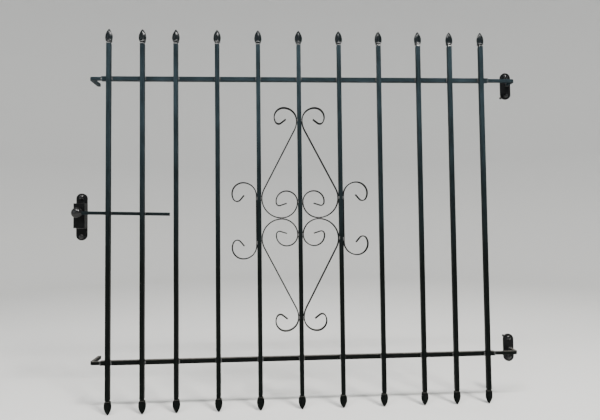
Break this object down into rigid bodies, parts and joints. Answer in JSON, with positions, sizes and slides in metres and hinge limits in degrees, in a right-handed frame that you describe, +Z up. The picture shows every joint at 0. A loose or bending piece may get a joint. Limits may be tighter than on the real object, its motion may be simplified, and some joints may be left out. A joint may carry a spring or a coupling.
{
  "type": "window grille",
  "caption": "Wall-fixed window grille of square bars with forged spear points on two rails, with flat-strip scrollwork round the middle bar, bent legs, wall plates and a lock bracket.",
  "frame": {"origin": "on the face of the wall, at the middle of the grille", "axes": "+X to the right as seen from outside, +Y into the wall, +Z up"},
  "size_m": [1.3344, 0.0875, 1.116],
  "materials": {
    "bar_paint": "brushed black gloss paint on square iron bar",
    "scroll_paint": "brushed black gloss paint on flat iron strip",
    "bracket_paint": "thick black paint with dust in the corners",
    "bolt_paint": "black paint, worn on the dome"
  },
  "bodies": {
    "root": {"anchor_bolts": "bolt_paint", "bar_01": "bar_paint", "bar_02": "bar_paint", "bar_03": "bar_paint", "bar_04": "bar_paint", "bar_05": "bar_paint", "bar_06": "bar_paint", "bar_07": "bar_paint", "bar_08": "bar_paint", "bar_09": "bar_paint", "bar_10": "bar_paint", "bar_11": "bar_paint", "bottom_left_leg": "bar_paint", "bottom_rail": "bar_paint", "bottom_right_leg": "bar_paint", "bottom_right_plate": "bracket_paint", "left_c_scroll": "scroll_paint", "left_lower_scroll": "scroll_paint", "left_upper_scroll": "scroll_paint", "lock_block": "bracket_paint", "lock_bolt": "bolt_paint", "lock_plate": "bracket_paint", "right_c_scroll": "scroll_paint", "right_lower_scroll": "scroll_paint", "right_upper_scroll": "scroll_paint", "tie_bar": "bar_paint", "top_left_leg": "bar_paint", "top_rail": "bar_paint", "top_right_leg": "bar_paint", "top_right_plate": "bracket_paint"}
  },
  "joints": []
}
